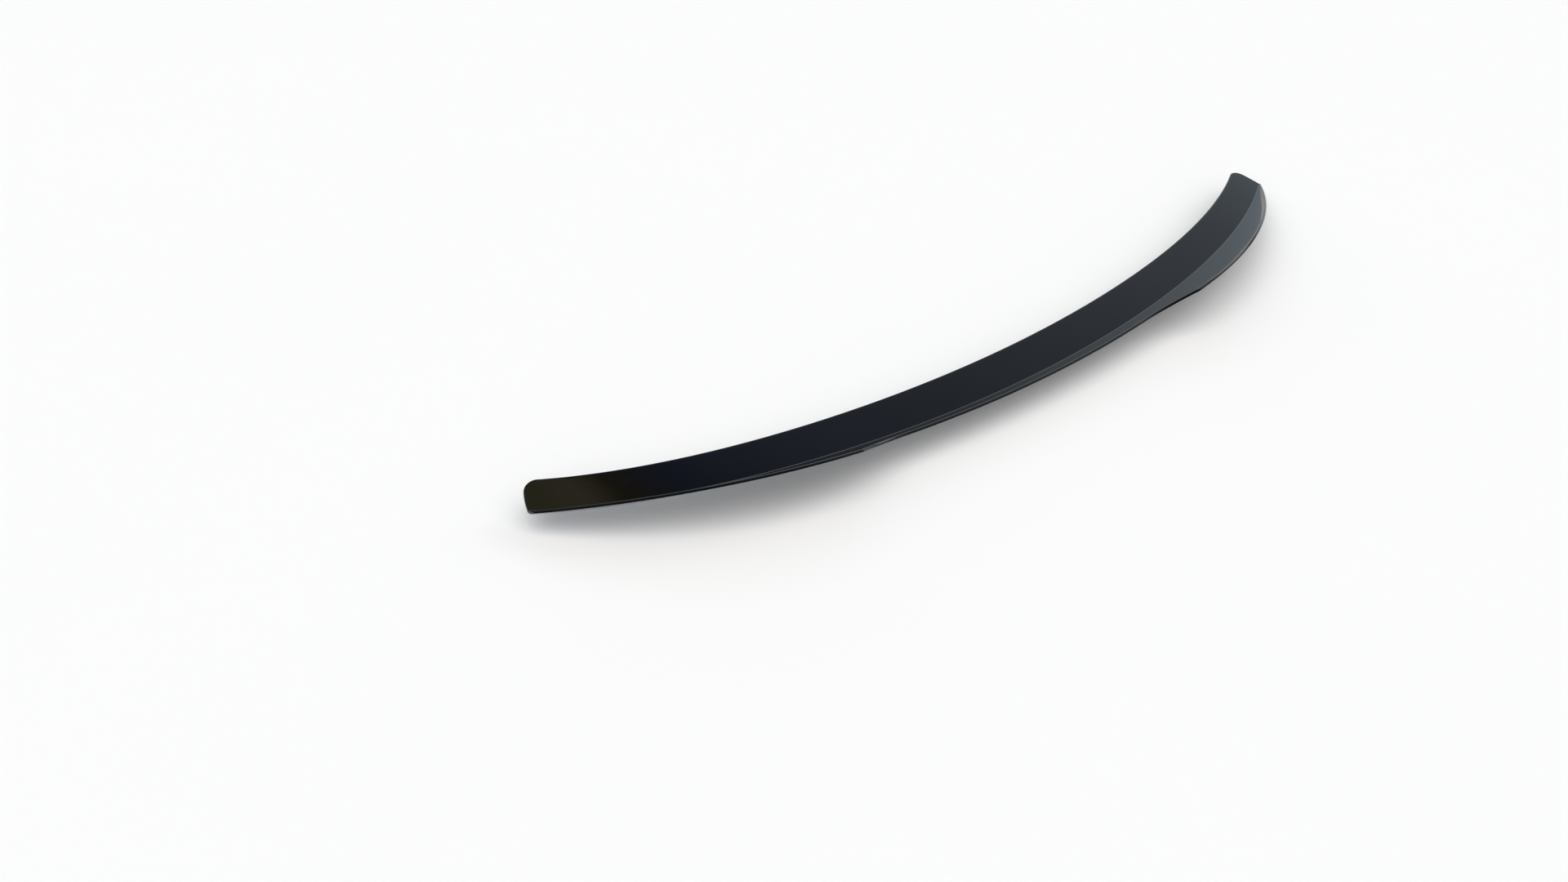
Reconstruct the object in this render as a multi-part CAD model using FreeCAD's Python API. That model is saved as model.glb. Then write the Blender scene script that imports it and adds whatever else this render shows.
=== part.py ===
"""Stick-on rear spoiler lip: a bent blade of sheet plastic, its bonding tape and the tape's liner.

Frame: +X to the right, +Y forward, +Z up, as on the car. The origin is the middle of the face
that is bonded to the lid. Millimetres and degrees.

Every cross-section stands square to the ridge in plan. A station u runs from -1 at one tip to
+1 at the other. The ridge is the fold between the flange, which lies on the lid, and the lip.
"""
import FreeCAD, Part
import os
from math import atan2, cos, hypot, radians, sin, sqrt, tan

from FreeCAD import Vector

# The ridge
HALF_SPAN = 600.0            # centre line to a tip
SWEEP = 117.2                # forward sweep of a tip, the part that grows with u squared
SWEEP_TIP = 25.0             # extra sweep close to the tips, with u to the sixth
CROWN = 27.1                 # drop of a tip, the part that grows with u squared
CROWN_TIP = 8.2              # extra drop close to the tips, with u to the sixth

# The flange
FLANGE_WIDTH = 52.5          # at the centre line
FLANGE_TAPER = 11.2          # narrower by this at the tips
FLANGE_TWIST = 6.0           # front edge turned up by this angle at the tips
FLANGE_DIP = 15.3            # slope of the lid: the flange falls towards the rear

# The lip
LIP_ANGLE = 49.2             # fold between flange and lip at the centre line
LIP_ANGLE_TIP = 6.0          # extra fold at the tips
LIP_HEIGHT = 33.2            # between the ears, at the centre line
LIP_HEIGHT_GROWTH = 9.6      # how much taller that stretch would be at the tips
EAR_CORNER = 0.444           # station where an ear begins
EAR_HEIGHT = 63.2            # at the ear's corner
EAR_SLOPE = 138.0            # how fast the ear rises from the tip
EAR_DROOP = -30.5            # pulls the ear's crest back down near its corner
LIP_TIP = 1.2                # height left at the tip
STEP_START = 0.317           # station where the lip starts to rise to the ear

# The sheet and its edges
SHEET = 3.5                  # thickness of the moulding
FOLD_TOP_RADIUS = 1.0        # in the fold, on top
FOLD_UNDER_RADIUS = 2.0      # on the ridge, underneath
END_BULGE = 5.2              # how far an end edge bows outwards
END_BULGE_AT = 32.0          # where it bows most, forward of the ridge
FRONT_CORNER_RADIUS = 16.0   # front corners of the flange
TIP_RAKE = 1.7               # how far the lip's end is cut back per unit behind the ridge
CORNER_STATION = 0.975       # where that rounding meets the front edge
CORNER_EXIT = 3.5            # angle between the front edge there and at the tip
CORNER_CLEARANCE = 0.03      # lets the rounding run cleanly out through the front edge

# The bonding tape and the film that covers it
TAPE_THICKNESS = 0.8
TAPE_REAR_MARGIN = 9.6       # ridge to tape
TAPE_FRONT_MARGIN = 7.5      # tape to the flange's front edge
TAPE_END_MARGIN = 12.0
TAPE_CORNER_RADIUS = 10.0
LINER_GAP = 0.3              # clearance between the tape and the film that lifts off it
LINER_THICKNESS = 0.4

# How the shapes are swept
CENTRE_SECTIONS = 23
EAR_SECTIONS = 13
STRIP_SECTIONS = 33
END_STATION = 1.012          # sections run past the tip, to be trimmed there
TRIM_REACH = 90.0            # size of the blocks that trim the ends


def ridge(u):
    """The ridge's point at station u, on the top of the sheet."""
    along = u * HALF_SPAN
    forward = SWEEP * u**2 + SWEEP_TIP * u**6
    drop = CROWN * u**2 + CROWN_TIP * u**6
    return Vector(along, forward, -drop)


def rearward(u):
    """Unit vector square to the ridge in plan, pointing to the rear."""
    slope = (2 * SWEEP * u + 6 * SWEEP_TIP * u**5) / HALF_SPAN
    return Vector(slope, -1, 0) / hypot(slope, 1)


def flange_width(u):
    return FLANGE_WIDTH - FLANGE_TAPER * u**2


def lip_height(u):
    """Height of the lip: narrow in the middle, a smooth step, then an ear that runs out at the tip."""
    station = min(abs(u), 1.0)
    middle = LIP_HEIGHT + LIP_HEIGHT_GROWTH * station**2
    if station <= STEP_START:
        return middle
    if station <= EAR_CORNER:
        progress = (station - STEP_START) / (EAR_CORNER - STEP_START)
        corner_middle = LIP_HEIGHT + LIP_HEIGHT_GROWTH * EAR_CORNER**2
        return middle + (EAR_HEIGHT - corner_middle) * progress**2
    inboard = (1 - station) / (1 - EAR_CORNER)
    curvature = EAR_HEIGHT - LIP_TIP - EAR_SLOPE - EAR_DROOP
    return LIP_TIP + EAR_SLOPE * inboard + curvature * inboard**2 + EAR_DROOP * inboard**3


class Section:
    """The flange and lip directions at one station, and how its flat coordinates lie in space."""

    def __init__(self, u):
        self.u = u
        self.origin = ridge(u)
        self.back = rearward(u)
        twist = radians(-FLANGE_TWIST * u**4)
        lift = radians(LIP_ANGLE + LIP_ANGLE_TIP * u**2)
        self.flange = (-cos(twist), -sin(twist))
        self.flange_up = (-sin(twist), cos(twist))
        self.lip = (cos(lift), sin(lift))
        self.lip_up = (-sin(lift), cos(lift))
        self.half_fold = (lift - twist) / 2

    def place(self, point):
        """A point given as (rearward, up) from the ridge."""
        return self.origin + self.back * point[0] + Vector(0, 0, point[1])

    def on_flange(self, forward, up):
        """Flat coordinates of a point measured forward of the ridge and up from the flange's top."""
        return tuple(forward * a + up * b for a, b in zip(self.flange, self.flange_up))

    def on_lip(self, out, up):
        """Flat coordinates of a point measured out along the lip and up from its top."""
        return tuple(out * a + up * b for a, b in zip(self.lip, self.lip_up))


def toward(start, end, distance):
    return start + (end - start).normalize() * distance


def outline(corners):
    """A closed wire through corners, each (point, radius, tangent length); radius 0 is sharp."""
    edges = []
    ends = []
    for index, (point, radius, setback) in enumerate(corners):
        before = corners[index - 1][0]
        after = corners[(index + 1) % len(corners)][0]
        entry = toward(point, before, setback)
        leave = toward(point, after, setback)
        ends.append((entry, leave))
    for index, (point, radius, setback) in enumerate(corners):
        entry, leave = ends[index]
        if radius:
            inward = ((entry + leave) / 2 - point).normalize()
            middle = point + inward * (hypot(radius, setback) - radius)
            edges.append(Part.Arc(entry, middle, leave).toShape())
        following = ends[(index + 1) % len(corners)][0]
        edges.append(Part.LineSegment(leave, following).toShape())
    return Part.Wire(edges)


def blade_section(u):
    """The bent sheet at one station."""
    section = Section(u)
    width = flange_width(u)
    height = lip_height(u)
    pinch = SHEET * tan(section.half_fold)
    top_setback = FOLD_TOP_RADIUS * tan(section.half_fold)
    under_setback = FOLD_UNDER_RADIUS * tan(section.half_fold)
    return outline([
        (section.place(section.on_flange(width, 0)), 0, 0),
        (section.place(section.on_flange(width, -SHEET)), 0, 0),
        (section.place(section.on_flange(-pinch, -SHEET)), FOLD_UNDER_RADIUS, under_setback),
        (section.place(section.on_lip(height, -SHEET)), 0, 0),
        (section.place(section.on_lip(height, 0)), 0, 0),
        (section.place((0, 0)), FOLD_TOP_RADIUS, top_setback),
    ])


def strip_section(u, top, thickness):
    """A flat strip under the flange, its upper face at depth top below the flange's top."""
    section = Section(u)
    rear = TAPE_REAR_MARGIN
    front = flange_width(u) - TAPE_FRONT_MARGIN
    return outline([
        (section.place(section.on_flange(front, -top)), 0, 0),
        (section.place(section.on_flange(front, -top - thickness)), 0, 0),
        (section.place(section.on_flange(rear, -top - thickness)), 0, 0),
        (section.place(section.on_flange(rear, -top)), 0, 0),
    ])


def stations(start, end, count):
    return [start + (end - start) * index / (count - 1) for index in range(count)]


def sweep(make_section, where):
    return Part.makeLoft([make_section(u) for u in where], True, False)


def end_block(side, inset, front_margin, corner_radius):
    """What is cut off beyond a bowed end edge and its rounded front corner, side +1 or -1."""
    section = Section(side)
    out = section.back.cross(Vector(0, 0, 1)) * -side
    up = section.place(section.flange_up) - section.origin
    front = section.place(section.flange) - section.origin

    def spot(forward, outward):
        return section.origin + front * forward + out * outward

    beside = Section(side * CORNER_STATION)
    beside_width = flange_width(CORNER_STATION) - front_margin + CORNER_CLEARANCE
    front_edge = (beside.place(beside.on_flange(beside_width, 0)) - section.origin).dot(front)
    bow_radius = (END_BULGE_AT**2 + END_BULGE**2) / (2 * END_BULGE)
    bow_out = END_BULGE - inset - bow_radius
    reach = bow_radius - corner_radius
    corner_forward = front_edge - corner_radius
    corner_out = bow_out + sqrt(reach**2 - (corner_forward - END_BULGE_AT) ** 2)
    turn = atan2(corner_out - bow_out, corner_forward - END_BULGE_AT)

    def on_corner(angle):
        return spot(corner_forward + corner_radius * cos(angle), corner_out + corner_radius * sin(angle))

    exit_angle = radians(-CORNER_EXIT)
    tip = spot(0, -inset)
    rear = spot(-TRIM_REACH, -inset - TIP_RAKE * TRIM_REACH)
    ahead = spot(TRIM_REACH, corner_out + corner_radius * sin(exit_angle))
    edges = [
        Part.LineSegment(rear, tip).toShape(),
        Part.Arc(tip, spot(END_BULGE_AT / 2, bow_out + sqrt(bow_radius**2 - (END_BULGE_AT / 2) ** 2)),
                 on_corner(turn)).toShape(),
        Part.Arc(on_corner(turn), on_corner((turn + exit_angle) / 2), on_corner(exit_angle)).toShape(),
        Part.LineSegment(on_corner(exit_angle), ahead).toShape(),
        Part.LineSegment(ahead, spot(TRIM_REACH, TRIM_REACH)).toShape(),
        Part.LineSegment(spot(TRIM_REACH, TRIM_REACH), spot(-TRIM_REACH, TRIM_REACH)).toShape(),
        Part.LineSegment(spot(-TRIM_REACH, TRIM_REACH), rear).toShape(),
    ]
    face = Part.Face(Part.Wire(edges))
    face.translate(up * -TRIM_REACH)
    return face.extrude(up * 2 * TRIM_REACH)


def trimmed(solid, inset, front_margin, corner_radius):
    for side in (-1, 1):
        solid = solid.cut(end_block(side, inset, front_margin, corner_radius))
    return solid


def make_blade():
    centre = sweep(blade_section, stations(-EAR_CORNER, EAR_CORNER, CENTRE_SECTIONS))
    right = sweep(blade_section, stations(EAR_CORNER, END_STATION, EAR_SECTIONS))
    left = sweep(blade_section, stations(-END_STATION, -EAR_CORNER, EAR_SECTIONS))
    blade = centre.fuse([left, right]).removeSplitter()
    return trimmed(blade, 0.0, 0.0, FRONT_CORNER_RADIUS)


def make_strip(top, thickness):
    solid = sweep(lambda u: strip_section(u, top, thickness),
                  stations(-END_STATION, END_STATION, STRIP_SECTIONS))
    return trimmed(solid, TAPE_END_MARGIN, TAPE_FRONT_MARGIN, TAPE_CORNER_RADIUS)


def onto_car(shape):
    """Tilt the flange to the lid's slope and put the middle of the bonded face at the origin."""
    tape_middle = (TAPE_REAR_MARGIN + FLANGE_WIDTH - TAPE_FRONT_MARGIN) / 2
    shape = shape.copy()
    shape.translate(Vector(0, -tape_middle, SHEET + TAPE_THICKNESS))
    shape.rotate(Vector(0, 0, 0), Vector(1, 0, 0), FLANGE_DIP)
    return shape


def main():
    os.makedirs("parts", exist_ok=True)
    tape_bottom = SHEET + TAPE_THICKNESS
    nodes = {
        "spoiler_blade": make_blade(),
        "bonding_tape": make_strip(SHEET, TAPE_THICKNESS),
        "release_liner": make_strip(tape_bottom + LINER_GAP, LINER_THICKNESS),
    }
    for name, shape in nodes.items():
        shape = onto_car(shape)
        shape.exportStep("parts/" + name + ".step")
        box = shape.BoundBox
        print(name, shape.ShapeType, shape.isValid(), len(shape.Solids), round(shape.Volume),
              [round(v, 1) for v in (box.XMin, box.YMin, box.ZMin, box.XMax, box.YMax, box.ZMax)])


main()
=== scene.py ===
"""Looks of a stick-on rear spoiler lip: the gloss moulding, its bonding tape and the tape's liner.

Metres and degrees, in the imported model's frame: +X to the right, +Y forward, +Z up.
The meshes follow the design's sections, which stand square to the ridge in plan, and add the
rounded edges of a real moulding. A station u runs from -1 at the left tip to +1 at the right.
"""
from math import acos, atan2, cos, hypot, radians, sin, sqrt, tan

import bmesh
import bpy
from mathutils import Matrix, Vector


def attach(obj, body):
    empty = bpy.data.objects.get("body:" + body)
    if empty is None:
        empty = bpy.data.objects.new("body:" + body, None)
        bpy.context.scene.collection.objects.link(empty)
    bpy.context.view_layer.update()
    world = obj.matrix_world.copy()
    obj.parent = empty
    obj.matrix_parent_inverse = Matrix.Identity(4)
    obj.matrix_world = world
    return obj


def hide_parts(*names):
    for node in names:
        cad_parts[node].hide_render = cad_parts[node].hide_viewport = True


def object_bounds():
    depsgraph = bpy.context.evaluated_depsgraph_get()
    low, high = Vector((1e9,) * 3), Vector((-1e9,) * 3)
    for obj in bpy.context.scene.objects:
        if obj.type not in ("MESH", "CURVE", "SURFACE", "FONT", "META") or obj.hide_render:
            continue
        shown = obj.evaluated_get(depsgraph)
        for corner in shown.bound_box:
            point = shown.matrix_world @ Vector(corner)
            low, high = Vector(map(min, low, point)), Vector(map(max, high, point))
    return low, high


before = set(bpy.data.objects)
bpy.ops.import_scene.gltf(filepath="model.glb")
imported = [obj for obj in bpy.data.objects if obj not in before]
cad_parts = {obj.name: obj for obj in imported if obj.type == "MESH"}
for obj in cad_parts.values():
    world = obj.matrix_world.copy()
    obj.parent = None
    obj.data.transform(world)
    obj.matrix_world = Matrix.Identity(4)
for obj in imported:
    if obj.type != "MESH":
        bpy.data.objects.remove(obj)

CAD_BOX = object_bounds()
UP = Vector((0, 0, 1))

# The ridge between flange and lip
HALF_SPAN = 0.6000
SWEEP, SWEEP_TIP = 0.1172, 0.0250
CROWN, CROWN_TIP = 0.0271, 0.0082

# The flange
FLANGE_WIDTH = 0.0525
FLANGE_TAPER = 0.0112
FLANGE_TWIST = 6.0
FLANGE_DIP = 15.3

# The lip
LIP_ANGLE, LIP_ANGLE_TIP = 49.2, 6.0
LIP_HEIGHT, LIP_HEIGHT_GROWTH = 0.0332, 0.0096
LIP_TIP = 0.0012
STEP_START, EAR_CORNER = 0.317, 0.444
EAR_HEIGHT = 0.0632
EAR_SLOPE, EAR_DROOP = 0.1380, -0.0305

# The sheet and its edges
SHEET = 0.0035
FOLD_TOP_RADIUS, FOLD_UNDER_RADIUS = 0.0010, 0.0020
EDGE_TOP_RADIUS, EDGE_UNDER_RADIUS = 0.0014, 0.0006
FULL_EDGE_HEIGHT = 0.0040    # where the lip is lower than this, its edge radii shrink with it
END_BULGE, END_BULGE_AT = 0.0052, 0.0320
FRONT_CORNER_RADIUS = 0.0160
TIP_RAKE = 1.7
CORNER_STATION, CORNER_EXIT = 0.975, 3.5

# The bonding tape and the film that covers it
TAPE_THICKNESS = 0.0008
TAPE_REAR_MARGIN, TAPE_FRONT_MARGIN, TAPE_END_MARGIN = 0.0096, 0.0075, 0.0120
TAPE_CORNER_RADIUS = 0.0100
TAPE_EDGE_RADIUS = 0.0002
LINER_GAP, LINER_THICKNESS = 0.0003, 0.0004
LINER_EDGE_RADIUS = 0.0001

# How finely the meshes follow the shape
STRAIGHT_END = 0.930         # beyond this station the columns fan out to the end's outline
FAN_CROWDING = 1.6           # above 1, the fanned columns crowd towards the outline
BLADE_FAN_STEPS, STRIP_FAN_STEPS = 26, 20
BEFORE_STEP, PAST_CORNER = 0.290, 0.460    # the blade's columns are closer between these stations
EDGE_STEPS = 4               # facets in each rounded edge
FOLD_STEPS = 4               # facets round the fold
FLANGE_STEPS = 20            # rows on the flange, beyond the close ones beside the fold
CLOSE_ROWS_END = 0.12        # share of the flange where those close rows end
STRIP_STEPS = 18             # rows on the tape and the film
END_RADII_GROW = 0.3         # share of the flange over which the end's edge radii reach full size
AREA_WEIGHT = 80             # how far large faces rule the shading of the edges beside them

# How closely the rows' ends are solved
SOLVER_STEPS = 12
SOLVER_TOLERANCE = 1e-9
SLOPE_STEP = 1e-5


def ridge(u):
    """The ridge's point at station u, on the top of the sheet."""
    forward = SWEEP * u**2 + SWEEP_TIP * u**6
    down = CROWN * u**2 + CROWN_TIP * u**6
    return Vector((u * HALF_SPAN, forward, -down))


def rearward(u):
    """Unit vector square to the ridge in plan, pointing to the rear."""
    slope = (2 * SWEEP * u + 6 * SWEEP_TIP * u**5) / HALF_SPAN
    return Vector((slope, -1, 0)) / hypot(slope, 1)


def flange_width(u):
    return FLANGE_WIDTH - FLANGE_TAPER * u**2


def lip_height(u):
    """Height of the lip: low in the middle, a smooth step, then an ear that runs out at the tip."""
    station = min(abs(u), 1.0)
    middle = LIP_HEIGHT + LIP_HEIGHT_GROWTH * station**2
    if station <= STEP_START:
        return middle
    if station <= EAR_CORNER:
        progress = (station - STEP_START) / (EAR_CORNER - STEP_START)
        corner_middle = LIP_HEIGHT + LIP_HEIGHT_GROWTH * EAR_CORNER**2
        return middle + (EAR_HEIGHT - corner_middle) * progress**2
    inboard = (1 - station) / (1 - EAR_CORNER)
    curvature = EAR_HEIGHT - LIP_TIP - EAR_SLOPE - EAR_DROOP
    return LIP_TIP + EAR_SLOPE * inboard + curvature * inboard**2 + EAR_DROOP * inboard**3


class Section:
    """One station's flange and lip directions, and where its flat (rearward, up) points lie."""

    def __init__(self, u):
        self.origin = ridge(u)
        self.back = rearward(u)
        self.twist = radians(-FLANGE_TWIST * u**4)
        self.lift = radians(LIP_ANGLE + LIP_ANGLE_TIP * u**2)
        self.flange = Vector((-cos(self.twist), -sin(self.twist)))
        self.flange_up = Vector((-sin(self.twist), cos(self.twist)))
        self.lip = Vector((cos(self.lift), sin(self.lift)))
        self.lip_up = Vector((-sin(self.lift), cos(self.lift)))
        self.half_fold = (self.lift - self.twist) / 2

    def place(self, point):
        return self.origin + self.back * point[0] + UP * point[1]

    def direction(self, flat):
        return self.back * flat[0] + UP * flat[1]

    def on_flange(self, forward, depth):
        return self.place(self.flange * forward - self.flange_up * depth)

    def on_lip(self, out, depth):
        return self.place(self.lip * out - self.lip_up * depth)

    def on_fold(self, share, radius, depth):
        """A point on the fold's arc, from share 0 where it leaves the flange to 1 on the lip."""
        bisector = (self.flange_up + self.lip_up).normalized()
        corner = -bisector * depth / cos(self.half_fold)
        centre = corner + bisector * radius / cos(self.half_fold)
        angle = self.twist + (self.lift - self.twist) * share
        return self.place(centre - Vector((-sin(angle), cos(angle))) * radius)


class EndOutline:
    """The bowed end edge and its rounded front corner, as (forward, outward) in the tip's plane."""

    def __init__(self, side, inset, front_margin, corner_radius):
        tip = Section(side)
        self.origin = tip.origin
        self.out = tip.back.cross(UP) * -side
        self.front = tip.direction(tip.flange)
        self.inset = inset
        beside = Section(side * CORNER_STATION)
        front_width = flange_width(CORNER_STATION) - front_margin
        front_edge = self.measure(beside.on_flange(front_width, 0))[0]
        self.bow_radius = (END_BULGE_AT**2 + END_BULGE**2) / (2 * END_BULGE)
        self.bow_out = END_BULGE - inset - self.bow_radius
        self.corner_radius = corner_radius
        self.corner_forward = front_edge - corner_radius
        reach = self.bow_radius - corner_radius
        along = self.corner_forward - END_BULGE_AT
        self.corner_out = self.bow_out + sqrt(reach**2 - along**2)
        self.turn = atan2(self.corner_out - self.bow_out, along)

    def measure(self, point):
        return (point - self.origin).dot(self.front), (point - self.origin).dot(self.out)

    def limit(self, forward):
        """How far out the edge is: bowed ahead of the ridge, raked back behind it."""
        if forward < 0:
            return TIP_RAKE * forward - self.inset
        return self.bow_out + sqrt(self.bow_radius**2 - (forward - END_BULGE_AT) ** 2)

    def follow(self, share, start):
        """The point a share of the way along, from forward distance start to the front edge."""
        entry = acos((start - END_BULGE_AT) / self.bow_radius)
        bow = self.bow_radius * (entry - self.turn)
        corner = self.corner_radius * (self.turn + radians(CORNER_EXIT))
        gone = share * (bow + corner)
        if gone < bow:
            angle = entry - gone / self.bow_radius
            return (END_BULGE_AT + self.bow_radius * cos(angle),
                    self.bow_out + self.bow_radius * sin(angle))
        angle = self.turn - (gone - bow) / self.corner_radius
        return (self.corner_forward + self.corner_radius * cos(angle),
                self.corner_out + self.corner_radius * sin(angle))


def solve_station(error, start):
    """Secant search for the station where error is zero."""
    u, following = start, start * 0.999
    value = error(u)
    for _ in range(SOLVER_STEPS):
        new = error(following)
        if abs(new) < SOLVER_TOLERANCE or new == value:
            break
        u, following, value = following, following - new * (following - u) / (new - value), new
    return following


def solve_pair(errors, first, second):
    """Newton search for two unknowns that make both errors zero."""
    for _ in range(SOLVER_STEPS):
        here = errors(first, second)
        if max(abs(here[0]), abs(here[1])) < SOLVER_TOLERANCE:
            break
        a = [(x - y) / SLOPE_STEP for x, y in zip(errors(first + SLOPE_STEP, second), here)]
        b = [(x - y) / SLOPE_STEP for x, y in zip(errors(first, second + SLOPE_STEP), here)]
        determinant = a[0] * b[1] - a[1] * b[0]
        first -= (here[0] * b[1] - here[1] * b[0]) / determinant
        second -= (a[0] * here[1] - a[1] * here[0]) / determinant
    return first, second


class Blade:
    """Points of the moulding. A row is (part, share), along the lip, the fold or the flange."""

    ROWS = ([("lip", q) for q in (1, 0.99, 0.96, 0.88, 0.74, 0.58, 0.42, 0.26, 0.12, 0.04, 0.01)]
            + [("fold", k / FOLD_STEPS) for k in range(FOLD_STEPS, -1, -1)]
            + [("flange", p) for p in (0.01, 0.03, 0.07)]
            + [("flange", CLOSE_ROWS_END + (1 - CLOSE_ROWS_END) * k / FLANGE_STEPS)
               for k in range(FLANGE_STEPS + 1)])

    thickness = SHEET

    def __init__(self):
        self.known = {}

    def place(self, u, part, share, inset, depth):
        section = Section(u)
        radius = FOLD_TOP_RADIUS + (FOLD_UNDER_RADIUS - FOLD_TOP_RADIUS) * depth / SHEET
        if part == "fold":
            return section.on_fold(share, radius, depth)
        start = (radius - depth) * tan(section.half_fold)
        if part == "lip":
            return section.on_lip(start + share * (lip_height(u) - inset - start), depth)
        return section.on_flange(start + share * (flange_width(u) - inset - start), depth)

    def edge_scale(self, u):
        return min(1.0, lip_height(u) / FULL_EDGE_HEIGHT)

    def end(self, side, row, inset, depth):
        """The station and share at which a row meets the end's outline."""
        key = (side, row, round(inset, 9), round(depth, 9))
        if key not in self.known:
            part, share = row
            outline = EndOutline(side, inset, inset, FRONT_CORNER_RADIUS - inset)
            if part == "flange":
                target = outline.follow(share, 0)

                def errors(u, value):
                    spot = outline.measure(self.place(u, part, value, inset, depth))
                    return [spot[0] - target[0], spot[1] - target[1]]

                self.known[key] = solve_pair(errors, side, share)
            else:
                def error(u):
                    forward, outward = outline.measure(self.place(u, part, share, inset, depth))
                    return outward - outline.limit(forward)

                self.known[key] = (solve_station(error, side), share)
        return self.known[key]

    def spot(self, column, row, inset, level, rise):
        """level is the nearer face, 0 or the thickness; rise is how far the point is from it."""
        u, fan = column
        part, share = row
        side = 1 if u > 0 else -1
        on_flange = part == "flange"
        scale = 1.0 if on_flange else self.edge_scale(u)
        if fan:
            end_scale = self.edge_scale(side)
            if on_flange:
                end_scale += (1 - end_scale) * min(1.0, share / END_RADII_GROW)
            end_u, end_share = self.end(side, row, inset * end_scale, level + rise * end_scale)
            u += (end_u - u) * fan
            share += (end_share - share) * fan
            if fan == 1:
                scale = end_scale
            elif on_flange:
                scale = 1 + (end_scale - 1) * fan
            else:
                scale = self.edge_scale(u)
        return self.place(u, part, share, inset * scale, level + rise * scale)


class Strip:
    """Points of a flat strip under the flange. A row is ("strip", share), from rear to front."""

    ROWS = [("strip", k / STRIP_STEPS) for k in range(STRIP_STEPS + 1)]

    def __init__(self, top, thickness):
        self.top = top
        self.thickness = thickness
        self.known = {}

    def place(self, u, share, inset, depth):
        rear = TAPE_REAR_MARGIN + inset
        front = flange_width(u) - TAPE_FRONT_MARGIN - inset
        return Section(u).on_flange(rear + share * (front - rear), self.top + depth)

    def end(self, side, share, inset, depth):
        key = (side, share, round(inset, 9), round(depth, 9))
        if key not in self.known:
            outline = EndOutline(side, TAPE_END_MARGIN + inset, TAPE_FRONT_MARGIN + inset,
                                 TAPE_CORNER_RADIUS - inset)
            target = outline.follow(share, TAPE_REAR_MARGIN + inset)

            def errors(u, value):
                spot = outline.measure(self.place(u, value, inset, depth))
                return [spot[0] - target[0], spot[1] - target[1]]

            self.known[key] = solve_pair(errors, side, share)
        return self.known[key]

    def spot(self, column, row, inset, level, rise):
        u, fan = column
        share = row[1]
        if fan:
            end_u, end_share = self.end(1 if u > 0 else -1, share, inset, level + rise)
            u += (end_u - u) * fan
            share += (end_share - share) * fan
        return self.place(u, share, inset, level + rise)


def spaced(start, end, count):
    return [start + (end - start) * k / count for k in range(count)]


def make_columns(breaks, fan_steps):
    """Columns from tip to tip as (station, fan).

    breaks lists (station, steps to the next) from the middle outwards.
    """
    right = []
    for (start, steps), (end, _) in zip(breaks, breaks[1:]):
        right += [(u, 0) for u in spaced(start, end, steps)]
    fans = [1 - (1 - k / fan_steps) ** FAN_CROWDING for k in range(fan_steps + 1)]
    right += [(breaks[-1][0], fan) for fan in fans]
    return [(-u, fan) for u, fan in reversed(right[1:])] + right


def edge_profile(thickness, top_radius, under_radius):
    """(inset, level, rise) from the top's edge round to the underside's."""
    quarter = [radians(90 * k / EDGE_STEPS) for k in range(EDGE_STEPS + 1)]
    top = [(top_radius * (1 - sin(a)), 0, top_radius * (1 - cos(a))) for a in quarter]
    under = [(under_radius * (1 - sin(a)), thickness, -under_radius * (1 - cos(a)))
             for a in reversed(quarter)]
    return top + under


def make_shell(name, shape, columns, top_radius, under_radius):
    """A closed mesh: a grid on top, a grid underneath and a rounded edge between them."""
    rows = shape.ROWS
    last_column, last_row = len(columns) - 1, len(rows) - 1
    profile = edge_profile(shape.thickness, top_radius, under_radius)
    mesh = bmesh.new()

    def grid(entry):
        return {(i, j): mesh.verts.new(shape.spot(column, row, *entry))
                for i, column in enumerate(columns) for j, row in enumerate(rows)}

    top, under = grid(profile[0]), grid(profile[-1])
    for i in range(last_column):
        for j in range(last_row):
            corners = [(i, j), (i + 1, j), (i + 1, j + 1), (i, j + 1)]
            mesh.faces.new([top[c] for c in corners])
            mesh.faces.new([under[c] for c in reversed(corners)])
    around = ([(i, 0) for i in range(last_column)]
              + [(last_column, j) for j in range(last_row)]
              + [(i, last_row) for i in range(last_column, 0, -1)]
              + [(0, j) for j in range(last_row, 0, -1)])
    ring = [top[c] for c in around]
    for entry in profile[1:]:
        following = ([under[c] for c in around] if entry is profile[-1] else
                     [mesh.verts.new(shape.spot(columns[i], rows[j], *entry)) for i, j in around])
        for k, vertex in enumerate(ring):
            after = (k + 1) % len(ring)
            mesh.faces.new([ring[after], vertex, following[k], following[after]])
        ring = following
    for face in mesh.faces:
        face.smooth = True
    mesh.transform(ON_CAR)
    bmesh.ops.recalc_face_normals(mesh, faces=mesh.faces)
    data = bpy.data.meshes.new(name)
    mesh.to_mesh(data)
    mesh.free()
    piece = bpy.data.objects.new(name, data)
    bpy.context.scene.collection.objects.link(piece)
    even = piece.modifiers.new("even_shading", "WEIGHTED_NORMAL")
    even.weight = AREA_WEIGHT
    even.keep_sharp = True
    return piece


# Tilts the flange to the lid's slope and puts the middle of the bonded face at the origin.
ON_CAR = (Matrix.Rotation(radians(FLANGE_DIP), 4, "X")
          @ Matrix.Translation((0, -(TAPE_REAR_MARGIN + FLANGE_WIDTH - TAPE_FRONT_MARGIN) / 2,
                                SHEET + TAPE_THICKNESS)))

BLADE_COLUMNS = make_columns([(0, 34), (BEFORE_STEP, 12), (STEP_START, 40), (EAR_CORNER, 6),
                              (PAST_CORNER, 70), (STRAIGHT_END, 0)], BLADE_FAN_STEPS)
STRIP_COLUMNS = make_columns([(0, 110), (STRAIGHT_END, 0)], STRIP_FAN_STEPS)

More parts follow.
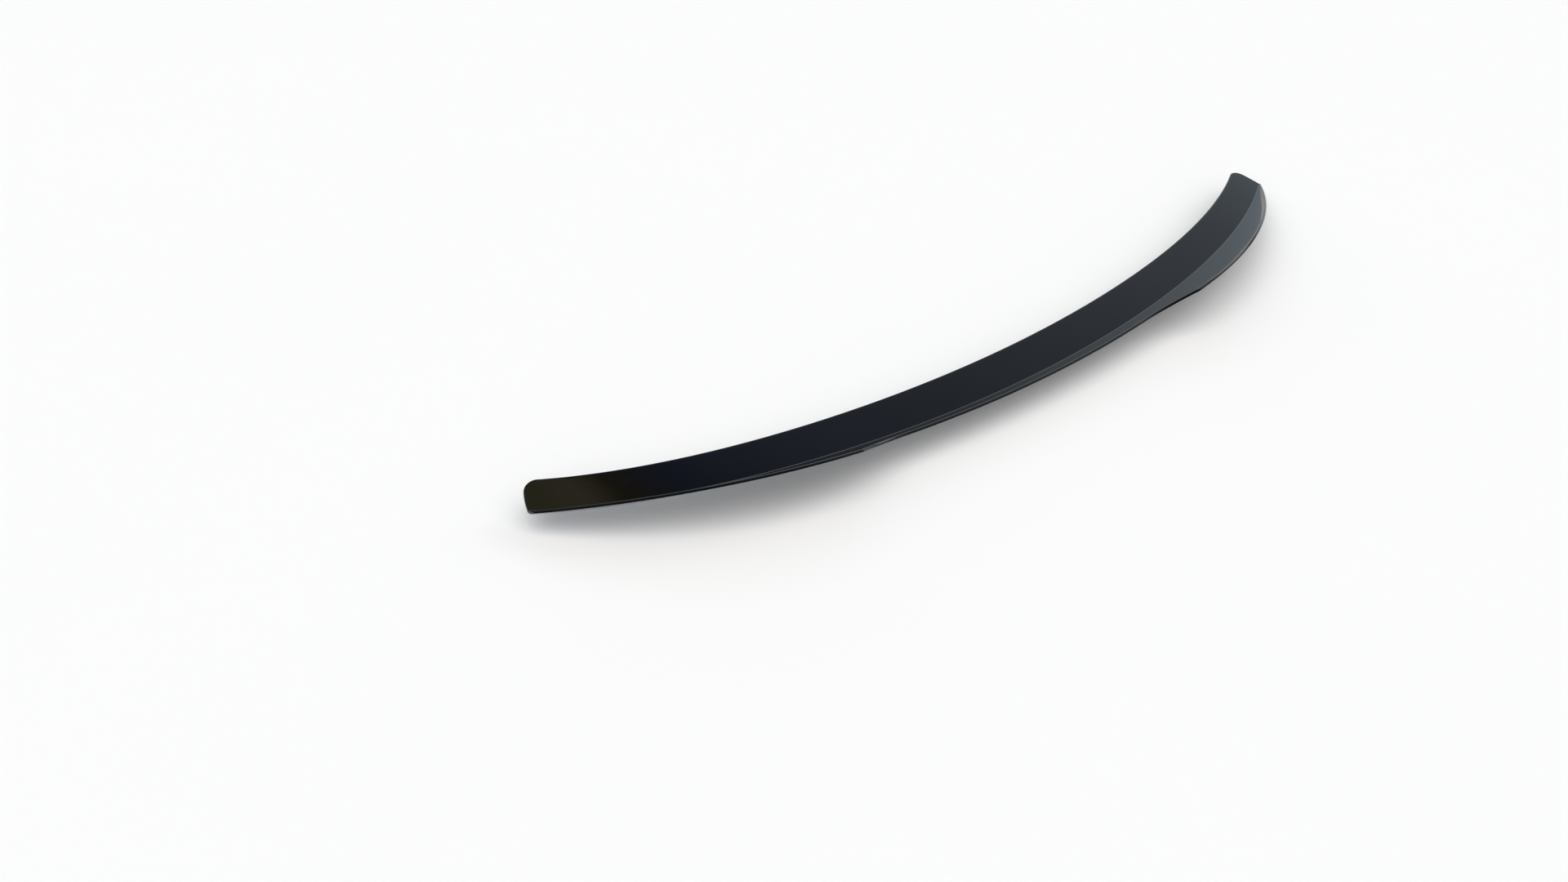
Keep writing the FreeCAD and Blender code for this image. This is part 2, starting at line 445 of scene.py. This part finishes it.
moulding = make_shell("gloss_moulding", Blade(), BLADE_COLUMNS, EDGE_TOP_RADIUS, EDGE_UNDER_RADIUS)
foam_tape = make_shell("foam_tape", Strip(SHEET, TAPE_THICKNESS),
                       STRIP_COLUMNS, TAPE_EDGE_RADIUS, TAPE_EDGE_RADIUS)
liner = make_shell("liner_film", Strip(SHEET + TAPE_THICKNESS + LINER_GAP, LINER_THICKNESS),
                   STRIP_COLUMNS, LINER_EDGE_RADIUS, LINER_EDGE_RADIUS)


# Materials

class Nodes:
    """Short calls for building a node tree."""

    def __init__(self, tree):
        self.tree = tree
        self.coordinates = None

    def add(self, kind, **settings):
        node = self.tree.nodes.new(kind)
        for key, value in settings.items():
            setattr(node, key, value)
        return node

    def link(self, out, into):
        self.tree.links.new(out, into)

    def noise(self, scale, detail=2.0, roughness=0.5, vector=None):
        node = self.add("ShaderNodeTexNoise")
        node.inputs["Scale"].default_value = scale
        node.inputs["Detail"].default_value = detail
        node.inputs["Roughness"].default_value = roughness
        self.link(vector or self.place(), node.inputs["Vector"])
        return node.outputs["Fac"]

    def place(self):
        if self.coordinates is None:
            self.coordinates = self.add("ShaderNodeTexCoord")
        return self.coordinates.outputs["Object"]

    def ramp(self, value, low, high, to_low, to_high):
        node = self.add("ShaderNodeMapRange", interpolation_type="SMOOTHSTEP")
        limits = {"From Min": low, "From Max": high, "To Min": to_low, "To Max": to_high}
        for key, number in limits.items():
            node.inputs[key].default_value = number
        self.link(value, node.inputs["Value"])
        return node.outputs["Result"]

    def math(self, operation, *values):
        node = self.add("ShaderNodeMath", operation=operation)
        for socket, value in zip(node.inputs, values):
            if isinstance(value, (int, float)):
                socket.default_value = value
            else:
                self.link(value, socket)
        return node.outputs["Value"]

    def mix(self, factor, first, second):
        node = self.add("ShaderNodeMix", data_type="RGBA")
        for index, value in ((0, factor), (6, first), (7, second)):
            if isinstance(value, bpy.types.NodeSocket):
                self.link(value, node.inputs[index])
            else:
                node.inputs[index].default_value = value if index == 0 else (*value, 1)
        return node.outputs[2]

    def bump(self, height, distance, under=None):
        node = self.add("ShaderNodeBump")
        node.inputs["Strength"].default_value = 1.0
        node.inputs["Distance"].default_value = distance
        self.link(height, node.inputs["Height"])
        if under:
            self.link(under, node.inputs["Normal"])
        return node.outputs["Normal"]


def new_material(name):
    material = bpy.data.materials.new(name)
    material.use_nodes = True
    return material, Nodes(material.node_tree), material.node_tree.nodes["Principled BSDF"]


def gloss_plastic():
    """Deep black polished plastic: a faint waviness, fine orange peel and light smears."""
    material, n, shader = new_material("gloss_black_plastic")
    tone = n.noise(9.0, 3.0)
    black = n.mix(tone, (0.0016, 0.0017, 0.0020), (0.0028, 0.0029, 0.0032))
    n.link(black, shader.inputs["Base Color"])
    smears = n.ramp(n.noise(14.0, 5.0, 0.65), 0.52, 0.78, 0.0, 0.06)
    grain = n.math("MULTIPLY", n.noise(420.0, 2.0), 0.02)
    n.link(n.math("ADD", n.math("ADD", smears, grain), 0.045), shader.inputs["Roughness"])
    waves = n.bump(n.noise(7.0, 1.0), 0.0006)
    peel = n.bump(n.noise(260.0, 1.0), 0.000012, under=waves)
    n.link(peel, shader.inputs["Normal"])
    shader.inputs["IOR"].default_value = 1.5
    return material


def foam():
    """Closed-cell acrylic foam: warm dark grey with fine open cells where it is cut."""
    material, n, shader = new_material("acrylic_foam")
    cells = n.add("ShaderNodeTexVoronoi")
    cells.inputs["Scale"].default_value = 2600.0
    n.link(n.place(), cells.inputs["Vector"])
    size = cells.outputs["Distance"]
    shade = n.ramp(size, 0.1, 0.6, 0.0, 1.0)
    n.link(n.mix(shade, (0.055, 0.030, 0.032), (0.120, 0.060, 0.062)), shader.inputs["Base Color"])
    n.link(n.ramp(n.noise(900.0), 0.3, 0.7, 0.62, 0.85), shader.inputs["Roughness"])
    n.link(n.bump(size, 0.00015), shader.inputs["Normal"])
    return material


def liner_material():
    """Pink release film: satin, slightly uneven in colour, with faint ripples along its length."""
    material, n, shader = new_material("release_film")
    tint = n.ramp(n.noise(22.0, 4.0, 0.6), 0.3, 0.7, 0.0, 1.0)
    n.link(n.mix(tint, (0.740, 0.215, 0.255), (0.790, 0.255, 0.295)), shader.inputs["Base Color"])
    n.link(n.ramp(n.noise(60.0, 4.0), 0.3, 0.7, 0.30, 0.42), shader.inputs["Roughness"])
    stretch = n.add("ShaderNodeMapping")
    stretch.inputs["Scale"].default_value = (0.35, 1.0, 1.0)
    n.link(n.place(), stretch.inputs["Vector"])
    ripples = n.bump(n.noise(70.0, 2.0, vector=stretch.outputs["Vector"]), 0.0003)
    n.link(n.bump(n.noise(1500.0, 2.0), 0.00001, under=ripples), shader.inputs["Normal"])
    return material


for piece, material, body, slot, node in (
        (moulding, gloss_plastic(), "moulding", "gloss_moulding", "spoiler_blade"),
        (foam_tape, foam(), "moulding", "acrylic_foam", "bonding_tape"),
        (liner, liner_material(), "liner", "liner_film", "release_liner")):
    piece.data.materials.append(material)
    piece.visible_diffuse = piece is moulding    # tape and film throw no pink light on the floor
    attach(piece, body)
    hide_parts(node)


# The floor and the wall round it
FLOOR_DROP = 0.020           # gap between the lowest point and the floor
FLOOR_RADIUS = 14.0
WALL_HEIGHT = 9.0
WALL_GLOW = 0.955            # about as bright as the lit floor, so the join hardly shows
ROUND_SEGMENTS = 96


def make_floor():
    """A round pale floor."""
    mesh = bmesh.new()
    bmesh.ops.create_circle(mesh, cap_ends=True, radius=FLOOR_RADIUS,
                              segments=ROUND_SEGMENTS)
    data = bpy.data.meshes.new("floor")
    mesh.to_mesh(data)
    mesh.free()
    floor = bpy.data.objects.new("floor", data)
    floor.location = (0, 0, CAD_BOX[0].z - FLOOR_DROP)
    bpy.context.scene.collection.objects.link(floor)
    material, n, shader = new_material("pale_floor")
    tone = n.noise(2.0, 3.0)
    n.link(n.mix(tone, (0.845, 0.848, 0.850), (0.855, 0.857, 0.858)), shader.inputs["Base Color"])
    shader.inputs["Roughness"].default_value = 1.0
    shader.inputs["Specular IOR Level"].default_value = 0.0
    data.materials.append(material)


def make_wall():
    """A plain pale wall round the floor for low views. It lights nothing and shades nothing."""
    mesh = bmesh.new()
    foot = bmesh.ops.create_circle(mesh, radius=FLOOR_RADIUS, segments=ROUND_SEGMENTS)["verts"]
    edges = list({edge for vertex in foot for edge in vertex.link_edges})
    top = bmesh.ops.extrude_edge_only(mesh, edges=edges)["geom"]
    for vertex in (item for item in top if isinstance(item, bmesh.types.BMVert)):
        vertex.co.z += WALL_HEIGHT
    data = bpy.data.meshes.new("wall")
    mesh.to_mesh(data)
    mesh.free()
    wall = bpy.data.objects.new("wall", data)
    wall.location = (0, 0, CAD_BOX[0].z - FLOOR_DROP)
    wall.visible_diffuse = wall.visible_glossy = wall.visible_shadow = False
    bpy.context.scene.collection.objects.link(wall)
    material, n, shader = new_material("pale_wall")
    tone = n.noise(0.2, 1.0)
    n.link(n.mix(tone, (0.97, 0.98, 0.98), (1.0, 1.0, 1.0)), shader.inputs["Emission Color"])
    shader.inputs["Emission Strength"].default_value = WALL_GLOW
    shader.inputs["Base Color"].default_value = (0, 0, 0, 1)
    shader.inputs["Roughness"].default_value = 1.0
    shader.inputs["Specular IOR Level"].default_value = 0.0
    data.materials.append(material)


make_floor()
make_wall()

# The studio
KEY_TOWARD = (-0.40, -0.60, 1.00)    # the middle of the wide soft light overhead
KEY_ANGLE = 100.0                    # how wide it looks, seen from the floor
KEY_STRENGTH = 2.63
KEY_COLOUR = (1.0, 0.983, 0.980)
SOFTBOX_TOWARD = (0.65, 0.67, 0.37)  # the middle of the large cool light ahead and to the right
GLOW = (                             # (degrees from there, colour), from the dim room inwards
    (105.0, (0.07, 0.07, 0.07)),
    (94.0, (0.30, 0.30, 0.30)),
    (87.0, (0.48, 0.48, 0.48)),
    (72.0, (0.75, 0.74, 0.72)),
    (60.0, (0.50, 0.47, 0.38)),
    (52.4, (0.34, 0.31, 0.15)),
    (50.5, (0.44, 0.40, 0.25)),
    (48.3, (0.10, 0.075, 0.005)),
    (44.5, (0.075, 0.11, 0.21)),
    (34.9, (0.31, 0.36, 0.45)),
    (24.5, (0.60, 0.69, 0.77)),
    (18.2, (0.90, 1.05, 1.16)),
    (0.0, (1.25, 1.46, 1.62)),
)
RIM_TOWARD = (0.88, -0.12, 0.46)     # the middle of the small bright light on the right
RIM_INNER, RIM_OUTER = 9.0, 17.0     # degrees from there to where it starts to fade and ends
RIM_COLOUR = (3.1, 3.2, 3.3)


def soft_key():
    """One very wide soft light overhead, which isn't seen in the gloss."""
    light = bpy.data.lights.new("key", "SUN")
    light.angle = radians(KEY_ANGLE)
    light.energy = KEY_STRENGTH
    light.color = KEY_COLOUR
    lamp = bpy.data.objects.new("key", light)
    lamp.rotation_mode = "QUATERNION"
    lamp.rotation_quaternion = Vector(KEY_TOWARD).to_track_quat("Z", "Y")
    lamp.visible_glossy = False
    bpy.context.scene.collection.objects.link(lamp)


def studio_room():
    """What the gloss sees: a cool light ringed by a dark band in a grey room, and a rim light."""
    world = bpy.data.worlds.new("studio")
    bpy.context.scene.world = world
    world.use_nodes = True
    n = Nodes(world.node_tree)
    direction = n.add("ShaderNodeTexCoord").outputs["Generated"]

    def closeness(toward):
        """The cosine of the angle between the direction looked in and a light's middle."""
        node = n.add("ShaderNodeVectorMath", operation="DOT_PRODUCT")
        n.link(direction, node.inputs[0])
        node.inputs[1].default_value = Vector(toward).normalized()
        return node.outputs["Value"]

    ramp = n.add("ShaderNodeValToRGB")
    stops = ramp.color_ramp.elements
    while len(stops) < len(GLOW):
        stops.new(1.0)
    for stop, (angle, colour) in zip(stops, GLOW):
        stop.position = (1 + cos(radians(angle))) / 2
        stop.color = (*colour, 1)
    n.link(n.math("MULTIPLY_ADD", closeness(SOFTBOX_TOWARD), 0.5, 0.5), ramp.inputs["Fac"])
    rim = n.ramp(closeness(RIM_TOWARD), cos(radians(RIM_OUTER)), cos(radians(RIM_INNER)), 0.0, 1.0)
    glow = n.mix(rim, ramp.outputs["Color"], RIM_COLOUR)
    n.link(glow, world.node_tree.nodes["Background"].inputs["Color"])


soft_key()
studio_room()
bpy.context.scene.view_settings.view_transform = "Standard"

# The camera: behind the car's left side, looking down
CAMERA_PLACE = (-1.4379, -1.3690, 1.2859)
CAMERA_AZIMUTH, CAMERA_ELEVATION = -38.69, 35.29
CAMERA_LENS, SENSOR_WIDTH = 45.10, 36.0
CAMERA_REACH = 100.0


def make_camera():
    camera = bpy.data.objects.new("camera", bpy.data.cameras.new("camera"))
    camera.data.lens = CAMERA_LENS
    camera.data.sensor_width = SENSOR_WIDTH
    camera.location = CAMERA_PLACE
    azimuth, elevation = radians(CAMERA_AZIMUTH), radians(CAMERA_ELEVATION)
    back = Vector((sin(azimuth) * cos(elevation), -cos(azimuth) * cos(elevation), sin(elevation)))
    camera.rotation_mode = "QUATERNION"
    camera.rotation_quaternion = (-back).to_track_quat("-Z", "Y")
    camera.data.clip_end = CAMERA_REACH
    bpy.context.scene.collection.objects.link(camera)
    bpy.context.scene.camera = camera


make_camera()

bpy.context.view_layer.update()
